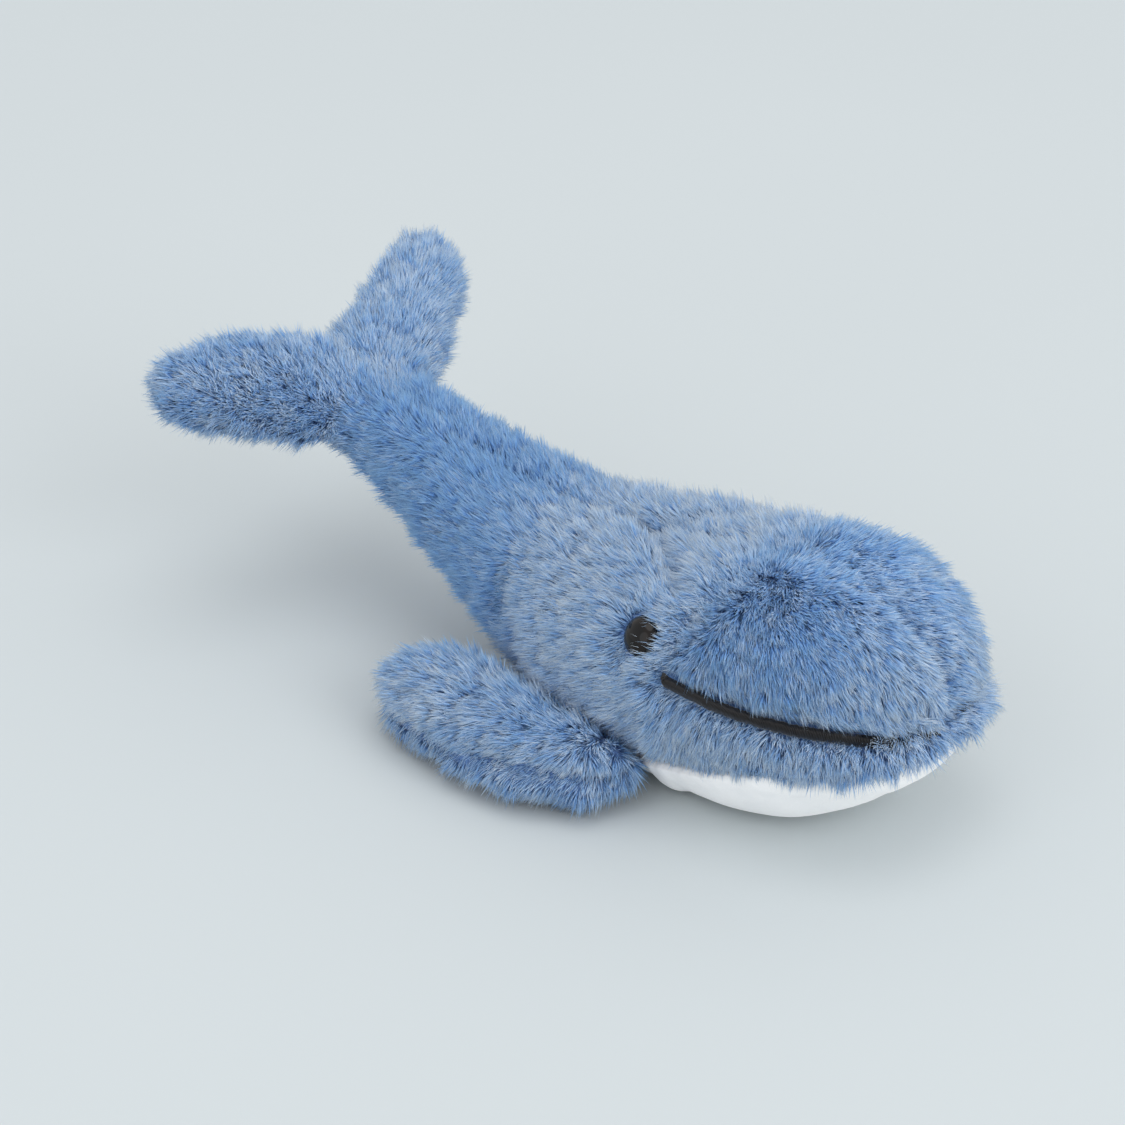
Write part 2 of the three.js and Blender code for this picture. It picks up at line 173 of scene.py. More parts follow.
def ease(value, low, high):
    """0 below low, 1 above high, and a smooth step between them."""
    t = np.clip((value - low) / (high - low), 0, 1)
    return t * t * (3 - 2 * t)


# %% [markdown]
# ## Where the eyes are
#
# Later steps need the middle of each eye: the cover is drawn in there, and the pile turns away from it.
# An eye is a body of revolution, so its axis is the one direction in which its spread differs from the
# other two. That is read off the solid, and no number is typed twice.

# %% Eyes of the frame
EYE_ABOVE_COVER = 5.3 * MM
EYE_RADIUS = 6 * MM


def eye_axis(side_name):
    """The point of the cover under an eye, and the direction straight out of it."""
    points = coordinates(frame["nodes"][f"{side_name}_eye"].data)
    middle = points.mean(0)
    spreads, axes = np.linalg.eigh(np.cov((points - middle).T))
    odd = np.argmax([abs(2 * s - (spreads.sum() - s)) for s in spreads])
    axis = axes[:, odd] * np.sign(axes[0, odd]) * SIDES[side_name]
    line = middle + axis * ((points - middle) @ axis).max()
    return line - axis * EYE_ABOVE_COVER, axis


def stood_on(place, axis):
    """A matrix that puts a shape at a place and turns its upward direction along an axis."""
    turn = Vector(axis).to_track_quat("Z", "Y").to_matrix().to_4x4()
    return Matrix.Translation(Vector(place)) @ turn


eyes = {name: eye_axis(name) for name in SIDES}
print("eyes", {name: tuple(np.round(eye[0] / MM, 1)) for name, eye in eyes.items()})

# %% [markdown]
# ## The stuffed form
#
# Under the pile the cover is a tight bag of stuffing. One closed form of body, tail and flukes, and one for
# each fin, is made from the solids of the stuffing: the solids are joined, a voxel remesh melts them into
# one even skin, and smoothing takes out the facets. The pocket behind each eye is plugged first,
# so that only a shallow dimple is left where the washer pulls the cover in.

# %% Form before it is stuffed
VOXEL = 2.5 * MM
CLOSE_GAPS = 0.4 * MM
EYE_PLUG_RADIUS = 7.2 * MM
EYE_PLUG_DEPTH = 9 * MM
EYE_PLUG_SUNK = 7.2 * MM
STUFFINGS = [name for name in frame["nodes"] if name.endswith("stuffing")]


def melted(name, bm):
    """One even, smooth skin round everything in a bmesh."""
    obj = new_object(name, bm)
    swell = obj.modifiers.new("close the gaps", "DISPLACE")
    swell.strength = CLOSE_GAPS
    swell.mid_level = 0
    melt = obj.modifiers.new("one skin", "REMESH")
    melt.mode = "VOXEL"
    melt.voxel_size = VOXEL
    even = obj.modifiers.new("even out", "SMOOTH")
    even.factor = 0.5
    even.iterations = 6
    bake_modifiers(obj)
    return obj


def calm(obj, where, iterations):
    """Smooths a form further, where the shares of its vertices ask for it."""
    group = obj.vertex_groups.new(name="calm")
    for index, share in enumerate(where):
        group.add([index], float(share), "REPLACE")
    smooth = obj.modifiers.new("calm", "SMOOTH")
    smooth.factor = 0.5
    smooth.iterations = iterations
    smooth.vertex_group = group.name
    bake_modifiers(obj)


bm = merged_copy(*[name for name in STUFFINGS if "_fin_" not in name])
for place, axis in eyes.values():
    bmesh.ops.create_cone(
        bm,
        cap_ends=True,
        segments=24,
        radius1=EYE_PLUG_RADIUS,
        radius2=EYE_PLUG_RADIUS,
        depth=EYE_PLUG_DEPTH,
        matrix=stood_on(place - axis * EYE_PLUG_SUNK, axis),
    )
skins = [melted("body_skin", bm)]
across, along, high = coordinates(skins[0].data).T / MM
in_the_lobes = ease(abs(across), 14, 26) * ease(along, 108, 125)
in_the_tail = ease(along, 35, 60) * (1 - in_the_lobes) * (1 - ease(along, 140, 152))
in_the_chin = ease(-along, 5, 25) * (1 - ease(high, 12, 28))
calm(skins[0], np.maximum(in_the_tail, in_the_chin), iterations=25)
skins += [melted(f"{side}_fin_skin", merged_copy(f"{side}_fin_stuffing")) for side in SIDES]
bm = bmesh.new()
for skin in skins:
    bm.from_mesh(skin.data)
    bpy.data.objects.remove(skin)
form = new_object("stuffed_form", bm)
print("form", len(form.data.vertices), "vertices")

# %% [markdown]
# ## Which panel is where
#
# The cover is sewn from panels, and the solids already know their outlines. For any point, the nearest
# panel is the one it belongs to, so a search tree is built for each panel. A vertex whose
# neighbours lie on another panel is on a seam.

# %% Panels of the frame
PANELS = [name for name in frame["nodes"] if name.endswith("panel")]
panel_trees = {panel: solid_tree(panel) for panel in PANELS}


def panel_of(point):
    """The name of the panel that lies nearest to a point."""
    return min(PANELS, key=lambda panel: panel_trees[panel].find_nearest(point)[3])


def sewn_together(a, b):
    """Whether two panels meet at a seam that shows: the tail's panels run on into their neighbours."""
    kinds = {a.split("_", 1)[-1], b.split("_", 1)[-1]}
    return a != b and (len(kinds) == 1 or not any("tail" in kind for kind in kinds))


vertex_panels = [panel_of(v.co) for v in form.data.vertices]
seam = np.zeros(len(vertex_panels))
for edge in form.data.edges:
    a, b = edge.vertices
    if sewn_together(vertex_panels[a], vertex_panels[b]):
        seam[[a, b]] = 1
print("seam vertices", int(seam.sum()))

# %% [markdown]
# ## Stuffing it
#
# The form is blown up as cloth: pressure from inside, no gravity, and the seams pinned, because a sewn seam
# doesn't stretch. The panels swell between their seams, which is what makes a stuffed toy look stuffed.
# How far a point may move is capped, so that the whale keeps its size, and it is flat where it lies.

# %% Cloth
SWELL_CAP = 3.2 * MM
STUFFING_FRAMES = 20
RESTS_AT = 1.2 * MM
SEAM_HOLD = 0.9

start = coordinates(form.data)
pins = form.vertex_groups.new(name="seams")
for index in np.nonzero(seam)[0]:
    pins.add([int(index)], SEAM_HOLD, "REPLACE")
cloth = form.modifiers.new("stuffing", "CLOTH")
cloth.settings.quality = 5
cloth.settings.mass = 0.3
cloth.settings.tension_stiffness = 5
cloth.settings.compression_stiffness = 5
cloth.settings.shear_stiffness = 3
cloth.settings.bending_stiffness = 0.3
cloth.settings.shrink_min = -0.05
cloth.settings.use_pressure = True
cloth.settings.uniform_pressure_force = 400
cloth.settings.vertex_group_mass = "seams"
cloth.settings.effector_weights.gravity = 0
for step in range(1, STUFFING_FRAMES + 1):
    scene.frame_set(step)
bake_modifiers(form)
scene.frame_set(1)

moved = coordinates(form.data) - start
length = np.linalg.norm(moved, axis=1, keepdims=True)
capped = start + moved * np.minimum(1, SWELL_CAP / np.maximum(length, 1e-9))
capped[:, 2] = np.maximum(capped[:, 2], RESTS_AT)
form.data.vertices.foreach_set("co", capped.astype(np.float32).ravel())
form.data.update()
across, along, high = capped.T / MM
on_the_crown = (
    (1 - ease(abs(across), 8, 20)) * ease(high, 45, 60) * ease(along, -58, -44) * (1 - ease(along, 0, 20))
)
calm(form, on_the_crown, iterations=12)
print("swelled by up to", round(length.max() / MM, 1), "mm, on average", round(length.mean() / MM, 2))

# %% [markdown]
# ## Cutting the panels
#
# The skin is divided once, so that it is round, and cut along the two long seams that run straight in a plane:
# the one down the middle of the back and head, and the one between the blue cover and the white belly.
# Every face then takes the name of the panel it lies on.

# %% Cut at the seams
BELLY_SEAM = 14.4 * MM
BELLY_RISE = math.radians(16.5)
SEAM_SNAP = 0.25 * MM

finer = form.modifiers.new("finer", "SUBSURF")
finer.levels = finer.render_levels = 1
bake_modifiers(form)

cover = bmesh.new()
cover.from_mesh(form.data)
belly_normal = (0, math.sin(BELLY_RISE), math.cos(BELLY_RISE))
for point, normal in (((0, 0, 0), (1, 0, 0)), ((0, 0, BELLY_SEAM), belly_normal)):
    whole = cover.verts[:] + cover.edges[:] + cover.faces[:]
    bmesh.ops.bisect_plane(
        cover, geom=whole, plane_co=point, plane_no=normal, dist=SEAM_SNAP, use_snap_center=True
    )
panel_layer = cover.faces.layers.int.new("panel")
vertex_panel = np.zeros(len(cover.verts), int)
for face in cover.faces:
    face.smooth = True
    face[panel_layer] = PANELS.index(panel_of(face.calc_center_median()))
    for vertex in face.verts:
        vertex_panel[vertex.index] = face[panel_layer]
cover.to_mesh(form.data)
cover.free()
print("cover", len(form.data.polygons), "faces in", len(PANELS), "panels")

# %% [markdown]
# ## Shaping
#
# Pressure alone gives an even balloon. A real toy is pulled about as its seams are closed, so the last shape is
# pushed into the skin as with a sculpting brush. Each push is a depth in millimetres, times one or more soft
# masks that say where it acts; it goes outwards where it is added and inwards where it is taken away.

# %% Shape
MOUTH_FRONT = -80.5
MOUTH_CORNER = -12.5
MOUTH_LEVEL = 41.2
MOUTH_LIFT = 4.5
FIN_CREASE_HEIGHT = 15
FLUKE_ROOT = (0, 139, 65)
FLUKE_SLOPE = math.radians(30)


def mouth_height(y):
    """Height of the lip seam, in millimetres: level along the snout, and lifted a little at the corner."""
    along = np.clip((y - MOUTH_FRONT) / (MOUTH_CORNER - MOUTH_FRONT), 0, 1)
    return MOUTH_LEVEL + MOUTH_LIFT * along**0.47 + 1.2 * ease(-y, 25, 55)


def gap_to_mouth(places):
    """How far places are from the lip seam, in millimetres, measured up and down the skin."""
    below = mouth_height(places[:, 1]) - places[:, 2]
    behind = np.maximum(places[:, 1] - MOUTH_CORNER, 0)
    return np.hypot(below, behind), below


def gap_to_line(places, line):
    """How far places are from a bent line."""
    gaps = []
    for a, b in zip(line, line[1:]):
        a, b = np.array(a, float), np.array(b, float)
        share = np.clip((places - a) @ (b - a) / ((b - a) @ (b - a)), 0, 1)
        gaps.append(np.linalg.norm(places - a - share[:, None] * (b - a), axis=1))
    return np.min(gaps, axis=0)


def fin_crease_gap(places):
    """How far places of a fin are above or below the crease that runs along its rim."""
    return abs(places[:, 2] - FIN_CREASE_HEIGHT + 2 * ease(places[:, 1], 15, 45))


CREASES = (
    ((0, 27, 62), (7, 16, 64), (15, 6, 65), (24, -6, 63)),
    ((27, 55, 46), (27, 58, 31)),
)

places = coordinates(form.data) / MM
outward = directions(form.data)
x, y, z = places.T
side = np.sign(x)
kind = np.array([name.removeprefix("right_").removeprefix("left_") for name in PANELS])[vertex_panel]
is_snout = kind == "snout_panel"
is_side = kind == "side_panel"
is_tail = kind == "tail_panel"
is_fluke = np.char.startswith(kind, "fluke")
is_fin = np.char.startswith(kind, "fin")
is_belly = kind == "belly_panel"

mouth_gap, below_mouth = gap_to_mouth(places)
# The thin fins, flukes and tail are filled out again.
push = np.select([is_fin, is_fluke], [1.9, 2.1], 0.3 + 2.6 * ease(y, 40, 80))
# The seam down the middle of the snout is drawn in, and the snout swells on both sides of it.
push -= 4.6 * (1 - ease(abs(x), 0, 7)) * ease(-y, 46, 66) * (0.2 + 0.8 * ease(-below_mouth, 2, 12)) * is_snout
push += 0.6 * ease(abs(x), 4, 14) * ease(mouth_gap, 3, 14) * is_snout
# The lips are drawn in along their seam, and the lower lip rolls forward.
push -= (1.2 + 1.6 * ease(-y, 66, 78)) * (1 - ease(mouth_gap, 0, 4)) * (is_snout | is_side)
push += 3.0 * ease(below_mouth, 1, 6) * (1 - ease(below_mouth, 12, 20)) * ease(-y, 40, 74) * is_side
# The seam down the back is drawn in, and the belly is fuller, most of all at its edge.
push -= 1.0 * (1 - ease(abs(x), 0, 5)) * ease(z, 40, 55) * ease(y, -20, 0) * (is_side | is_tail | is_fluke)
push += 0.8 * ease(-y, 10, 30) * is_belly
push += 3.8 * ease(abs(x), 8, 26) * ease(-y, -34, 6) * (1 - ease(-y, 10, 64)) * is_belly
# Creases run along the rim of each fin, behind the head and down the flank.
push -= 2.8 * (1 - ease(fin_crease_gap(places), 0.5, 4.5)) * ease(outward[:, 0] * side, 0.1, 0.4) * is_fin
folded = np.zeros(len(places))
for line in CREASES:
    for mirror in (-1, 1):
        folded = np.maximum(folded, 1 - ease(gap_to_line(places * [mirror, 1, 1], line), 1.5, 7))
folded *= is_side | is_tail
push -= 2.4 * folded
places = places + outward * push[:, None]
places[:, 1] += 3 * (1 - ease(y, -10, 10)) * is_fin

# The right fluke is longer than the left one, both are a little narrower, and the left one is raised.
back_and_up = np.array([0, math.cos(FLUKE_SLOPE), math.sin(FLUKE_SLOPE)])
chord = (places - FLUKE_ROOT) @ back_and_up
longer = 0.18 * np.maximum(chord, 0) * (1 - ease(x, -16, 4)) * (1 - ease(abs(x), 30, 50)) * is_fluke
places += longer[:, None] * back_and_up
places[:, 0] *= 1 - 0.08 * ease(abs(places[:, 0]), 15, 60) * is_fluke
places[:, 2] += 3 * ease(x, 8, 60) * is_fluke
places[:, 2] = np.maximum(places[:, 2], RESTS_AT / MM)
form.data.vertices.foreach_set("co", (places * MM).astype(np.float32).ravel())
form.data.update()
print("pushed by", round(push.min(), 1), "to", round(push.max(), 1), "mm")

# %% [markdown]
# ## The lie of the pile
#
# Pile fabric has a nap: all its fibres lean the same way, and a hand that strokes against it finds it rough.
# Each panel is cut with its nap in a chosen direction. On the snout it runs forwards from the brow, on the
# flank towards the tail, on the jaw straight down, and on fins and flukes out to the rim. The direction, the
# length and the thickness of the pile are worked out for every vertex and kept as attributes of the skin.

# %% Direction of the nap
WIDE_EDDY = 13
NARROW_EDDY = 5


def mixed(a, b, share):
    """Rows that go from a to b as share goes from 0 to 1."""
    share = np.asarray(share)[..., None]
    return a * (1 - share) + b * share


def swirl(place):
    """A random turn of the nap at a place in millimetres: one wide eddy and one narrow one."""
    place = Vector(place)
    return 0.35 * noise.noise_vector(place / WIDE_EDDY) + 0.3 * noise.noise_vector(place / NARROW_EDDY)


x, y, z = places.T
outward = directions(form.data)
mouth_gap, below_mouth = gap_to_mouth(places)
jaw = is_side * ease(-y, 2, 22) * ease(below_mouth, -2, 6)
level = np.zeros_like(y)

nap = np.column_stack([level, level + 1, -0.35 + 0.75 * ease(y, 30, 85)])
nap[:, 0] += 0.6 * side * (1 - ease(abs(x), 1, 9)) * ease(z, 40, 55) * ease(y, -20, 0)
nap = mixed(nap, np.array([0.0, -0.25, -1.0]), jaw)
forwards = unit(places - [0, 2, 90])
forwards[:, 0] += 1.3 * side * (1 - ease(abs(x), 1, 10)) * ease(-y, 44, 66)
forwards = mixed(np.column_stack([0.3 * side, level - 1, level]), forwards, ease(mouth_gap, 2, 9))
nap[is_snout] = forwards[is_snout]
spread = np.clip(chord / 14, -1, 1)
backwards = 0.6 - 0.3 * ease(abs(x), 10, 50) + 0.2 * spread
to_rim = np.column_stack([side * ease(abs(x), 2, 26), backwards, 0.3 + 0.12 * spread])
nap[is_fluke] = to_rim[is_fluke]
on_top = np.column_stack([0.9 * side, 0.25 + 0.45 * ease(y, 10, 60), level - 0.1])
round_rim = np.column_stack([0.3 * side, level + 0.3, level - 1])
fin_nap = mixed(round_rim, on_top, ease(z, 12, 15))
round_root = np.column_stack([0.3 * side, level - 0.1, level - 1])
nap[is_fin] = mixed(round_root, fin_nap, ease(y, -4, 16))[is_fin]

eye_gap = np.full(len(places), 99.0)
below_eye = np.zeros(len(places))
for place, axis in eyes.values():
    apart = places - place / MM
    flat = unit(apart - (apart @ axis)[:, None] * axis)
    gap = np.linalg.norm(apart, axis=1)
    eye_gap = np.minimum(eye_gap, gap)
    under = (1 - ease(gap, 8, 13)) * ease(-flat[:, 2], 0.1, 0.6) * ease(flat[:, 1], -0.4, 0.1)
    below_eye = np.maximum(below_eye, under)
    behind = ease(flat[:, 1], -0.35, 0.2)
    nap = mixed(nap, flat * 1.2, (1 - ease(gap, 8, 15)) * behind)
    nap = mixed(nap, np.array([0.0, 1.0, 0.0]), (1 - ease(gap, 9, 14)) * (1 - behind))
swirls = np.array([swirl(place) for place in places])
nap = nap + swirls * ease(eye_gap, 9, 16)[:, None] + [0, 0, -0.1]
nap = unit(nap - (nap * outward).sum(1, keepdims=True) * outward)
print("nap on", len(nap), "vertices")

# %% [markdown]
# ## How long, how thick and how pale
#
# Pile is shorter where it is caught in a seam, and a seam shows as a parting, where the fibres stand up. It was
# clipped round the mouth, the eyes and the white belly, and it is thin where the whale lies on it. The dye is
# palest on the flank, the tail stock is painted deeper as painted shade, and soft patches of paler and deeper
# dye lie all over.

# %% Length, thickness and tint of the pile
WIDE_PATCH = 16
NARROW_PATCH = 6


def patch(place):
    """How much paler or deeper the dye is at a place in millimetres."""
    return noise.noise(Vector(place) / WIDE_PATCH) + noise.noise(Vector(place) / NARROW_PATCH)


brow_seam = KDTree(len(form.data.edges))
for edge in form.data.edges:
    if set(kind[list(edge.vertices)]) == {"snout_panel", "side_panel"}:
        brow_seam.insert(places[edge.vertices[0]], edge.index)
brow_seam.balance()
parting = np.array([brow_seam.find(place)[2] for place in places])
parting = np.where(below_mouth < -8, parting, 99)

near_mouth = (1 - ease(mouth_gap, 1, 6)) * ease(y, -76, -66) * (is_snout | is_side)
near_eye = 1 - ease(eye_gap, 7, 12)
belly_gap = (places - [0, 0, BELLY_SEAM / MM]) @ belly_normal
chin = (1 - ease(-y, 45, 65)) * (1 - ease(y, 0, 20))
hem = is_side * (1 - ease(belly_gap, 2, 12)) * chin
rim = is_fin * ease(outward[:, 0] * side, 0.1, 0.4)
pile_length = np.where(is_belly, 1.8, 7.2 - 0.3 * ease(y, 70, 150))
pile_length = (pile_length - 2.2 * hem) * (1 - 0.5 * near_mouth - 0.25 * near_eye * ease(y, -4, 2))
snout_crease = (1 - ease(abs(x), 0.5, 5)) * is_snout * ease(-y, 44, 62)
pile_length *= 1 - 0.35 * snout_crease
pile_length *= 1 - 0.4 * below_eye
pile_length *= 1 - 0.55 * rim * (1 - ease(fin_crease_gap(places), 0.5, 4))
back_seam = (is_side | is_tail) * ease(z, 40, 55) * ease(y, -20, 0) * (1 - ease(abs(x), 0.5, 5))
pile_length *= (1 - 0.35 * back_seam) * (1 - 0.3 * folded) * (1 - 0.25 * (1 - ease(parting, 0, 10)))
under_stitches = (is_snout | is_side) * (1 - ease(mouth_gap, 1.2, 2.6)) * (1 - ease(-y, 68, 76))
thick = (1 - under_stitches) * ease(eye_gap, 5.8, 7.2) * (1 + 0.6 * snout_crease)
thick = thick * (1 - is_side * chin * (1 - ease(belly_gap, 0.5, 2.5)))
brow = ease(z, 50, 60) * ease(-y, 10, 25) * (1 - ease(-y, 45, 60))
thick = thick * (1 + 0.35 * brow + 0.2 * (kind == "fluke_top_panel"))
thick = thick * (1 - 0.5 * rim * (1 - ease(fin_crease_gap(places), 0.5, 2.5)))
underneath = np.select([kind == "fin_under_panel", kind == "fluke_under_panel"], [0.5, 0.6], 1)
thick = thick * (0.35 + 0.65 * ease(z, 0.8, 4)) * underneath
lean = np.select([is_fin, is_snout], [1.9 - 0.5 * ease(y, -4, 24), 1.65], 1.15 - 0.15 * ease(y, 80, 150))
lean = lean - 0.2 * hem - 0.3 * near_mouth
lean = lean * (0.1 + 0.9 * ease(parting, 0, 9))
patches = np.array([patch(place) for place in places])
# The tail stock is painted deeper than the flank and the flukes: painted shade where it faces down and away
# from the light.
flank_to_flukes_shaded_tail = 0.7 - 0.72 * ease(y, 35, 75) + 0.45 * ease(y, 115, 140)
tint = np.select([is_snout, is_fin], [0.46 + 0.1 * ease(-y, 60, 78), 0.42], flank_to_flukes_shaded_tail)
tint = tint - 0.15 * jaw - 0.2 * brow + 0.15 * rim + 0.2 * patches

attributes = {"up": outward, "nap": nap, "pile_length": pile_length * MM}
attributes |= {"thick": thick, "lean": lean, "tint": tint}
for name, values in attributes.items():
    value_type, field = ("FLOAT_VECTOR", "vector") if values.ndim == 2 else ("FLOAT", "value")
    layer = form.data.attributes.new(name, value_type, "POINT")
    layer.data.foreach_set(field, values.astype(np.float32).ravel())
print("pile length", round(pile_length.min(), 1), "to", round(pile_length.max(), 1), "mm")

# %% [markdown]
# ## One colour for many fibres
#
# A fibre of this pile is pale at its brushed tip and darker where it is knitted in; that darker root is partly
# the fibre's own dye and partly painted shade from deep in the pile. No two tufts took quite the same dye. Both
# are read from the fibre's own map: v runs from root to tip, and u is the tint of the fibre, which on the tail
# stock also carries painted shade. The group mixes five colours from them.

# %% Shader helpers
def srgb(*levels):
    """A colour as written in a paint program, 0 to 255, turned into the linear values that nodes use."""
    parts = [level / 255 for level in levels]
    return tuple(p / 12.92 if p <= 0.04045 else ((p + 0.055) / 1.055) ** 2.4 for p in parts) + (1.0,)


def node(tree, kind, inputs=None, **settings):
    """Adds a node, sets it up, and fills or links its inputs by name or number."""
    made = tree.nodes.new(kind)
    for name, value in settings.items():
        setattr(made, name, value)
    for name, value in (inputs or {}).items():
        if isinstance(name, int):
            target = made.inputs[name]
        else:
            target = next(socket for socket in made.inputs if socket.name == name and socket.enabled)
        if isinstance(value, bpy.types.NodeSocket):
            tree.links.new(value, target)
        else:
            target.default_value = value
    return made


def out(made, name):
    """The named output of a node that is in use."""
    return next(socket for socket in made.outputs if socket.name == name and socket.enabled)


def new_material(name, **sockets):
    """A material with a Principled shader whose plain values are set on its own sockets."""
    material = bpy.data.materials.new(name)
    material.use_nodes = True
    shader = material.node_tree.nodes["Principled BSDF"]
    for socket, value in sockets.items():
        shader.inputs[socket.replace("_", " ")].default_value = value
    return material, material.node_tree, shader


def mottled(tree, scale, **settings):
    """A share from noise that is fixed to the piece."""
    place = node(tree, "ShaderNodeTexCoord").outputs["Object"]
    return out(node(tree, "ShaderNodeTexNoise", {"Vector": place, "Scale": scale, **settings}), "Fac")


def two_tone(tree, shader, share, dark, light):
    """Colours a material between two colours, by a share that changes over its surface."""
    values = {"Factor": share, "A": srgb(*dark), "B": srgb(*light)}
    colours = node(tree, "ShaderNodeMix", values, data_type="RGBA")
    tree.links.new(out(colours, "Result"), shader.inputs["Base Color"])


def bumpy(tree, shader, height, strength, distance):
    """Gives a material a fine relief from a height that changes over its surface."""
    bump = node(tree, "ShaderNodeBump", {"Strength": strength, "Distance": distance, "Height": height})
    tree.links.new(bump.outputs["Normal"], shader.inputs["Normal"])


# %% Fibre colours
FIBRE_COLOURS = ("Root", "Deep Middle", "Pale Middle", "Deep Tip", "Pale Tip")

fibre = bpy.data.node_groups.new("fibre colour", "ShaderNodeTree")
for name in FIBRE_COLOURS:
    fibre.interface.new_socket(name, in_out="INPUT", socket_type="NodeSocketColor")
fibre.interface.new_socket("Color", in_out="OUTPUT", socket_type="NodeSocketColor")
given = node(fibre, "NodeGroupInput")
taken = node(fibre, "NodeGroupOutput")
fibre_map = node(fibre, "ShaderNodeUVMap", uv_map="OFBake")
parts = node(fibre, "ShaderNodeSeparateXYZ", {"Vector": out(fibre_map, "UV")})


def blend_colours(share, a, b):
    """A colour between a and b inside the fibre group."""
    return out(node(fibre, "ShaderNodeMix", {"Factor": share, "A": a, "B": b}, data_type="RGBA"), "Result")


def along_fibre(low, high):
    """A share that goes from 0 to 1 between two heights of the fibre."""
    values = {"Value": out(parts, "Y"), "From Min": low, "From Max": high}
    return out(node(fibre, "ShaderNodeMapRange", values, interpolation_type="SMOOTHSTEP"), "Result")


middle_colour = blend_colours(out(parts, "X"), out(given, "Deep Middle"), out(given, "Pale Middle"))
tip_colour = blend_colours(out(parts, "X"), out(given, "Deep Tip"), out(given, "Pale Tip"))
lower_half = blend_colours(along_fibre(0.05, 0.5), out(given, "Root"), middle_colour)
fibre.links.new(blend_colours(along_fibre(0.45, 0.95), lower_half, tip_colour), taken.inputs["Color"])

blue_pile, tree, shader = new_material(
    "blue pile", Roughness=0.7, Sheen_Weight=0.1, Sheen_Roughness=0.4, Specular_IOR_Level=0.2
)
blue = node(tree, "ShaderNodeGroup", node_tree=fibre)
# The root colour is the fibre's own blue made deeper with painted shade from deep in the pile.
dyes = ((94, 138, 200), (104, 154, 216), (160, 196, 232), (148, 198, 244), (234, 244, 254))
for name, dye in zip(FIBRE_COLOURS, dyes):
    blue.inputs[name].default_value = srgb(*dye)
tree.links.new(blue.outputs["Color"], shader.inputs["Base Color"])
print("pile colours", len(FIBRE_COLOURS))

# %% [markdown]
# ## A fibre
#
# One fibre is a quarter of a millimetre thick, so it needs only the fewest faces that close a shape: four. A
# cone with three sides has just these. Its base is pulled up along the fibre, which leaves a point at the root,
# a point at the tip and the thickest place between them. A few of them, bent by different amounts, are
# enough for the whole whale.

# %% Fibres
FIBRE_BENDS = (0.01, 0.02, 0.03, 0.045)
THICKEST_AT = 0.4
MAP_WIDTH = 0.012


def fibre_collection(name, material):
    """A collection of unit-long fibres that bend towards +X, not linked to the scene."""
    collection = bpy.data.collections.new(name)
    for number, bend in enumerate(FIBRE_BENDS):
        bm = bmesh.new()
        bmesh.ops.create_cone(bm, cap_ends=True, segments=3, radius1=0.5, radius2=0, depth=1)
        root, left, right, tip = sorted(bm.verts, key=lambda vertex: vertex.co.z)
        root.co = (0, 0, 0)
        left.co = (-bend, -0.5, THICKEST_AT + bend)
        right.co = (-bend, 0.5, THICKEST_AT + bend)
        tip.co = (0, 0, 1)
        bmesh.ops.recalc_face_normals(bm, faces=bm.faces)
        layer = bm.loops.layers.uv.new("OFBake")
        for face in bm.faces:
            for loop in face.loops:
                loop[layer].uv = (MAP_WIDTH * loop.vert.co.y, loop.vert.co.z)
        mesh = bpy.data.meshes.new(f"{name}_{number}")
        bm.to_mesh(mesh)
        bm.free()
        mesh.materials.append(material)
        collection.objects.link(bpy.data.objects.new(mesh.name, mesh))
    return collection


blue_fibres = fibre_collection("blue_fibre", blue_pile)

# %% [markdown]
# ## Growing the pile
#
# Hair particles would look right here, but they are lost when a model leaves Blender, so the pile is made of
# real fibres. A geometry node group scatters points over the skin and puts a fibre on each of them. Brushed
# pile sticks together in small tufts with dark partings between them: a second, sparser set of points gives
# the middles of the tufts, and each fibre leans towards the one next to it.

# %% Pile group
FAR = 9.0
ABOVE_FLOOR = 0.3 * MM


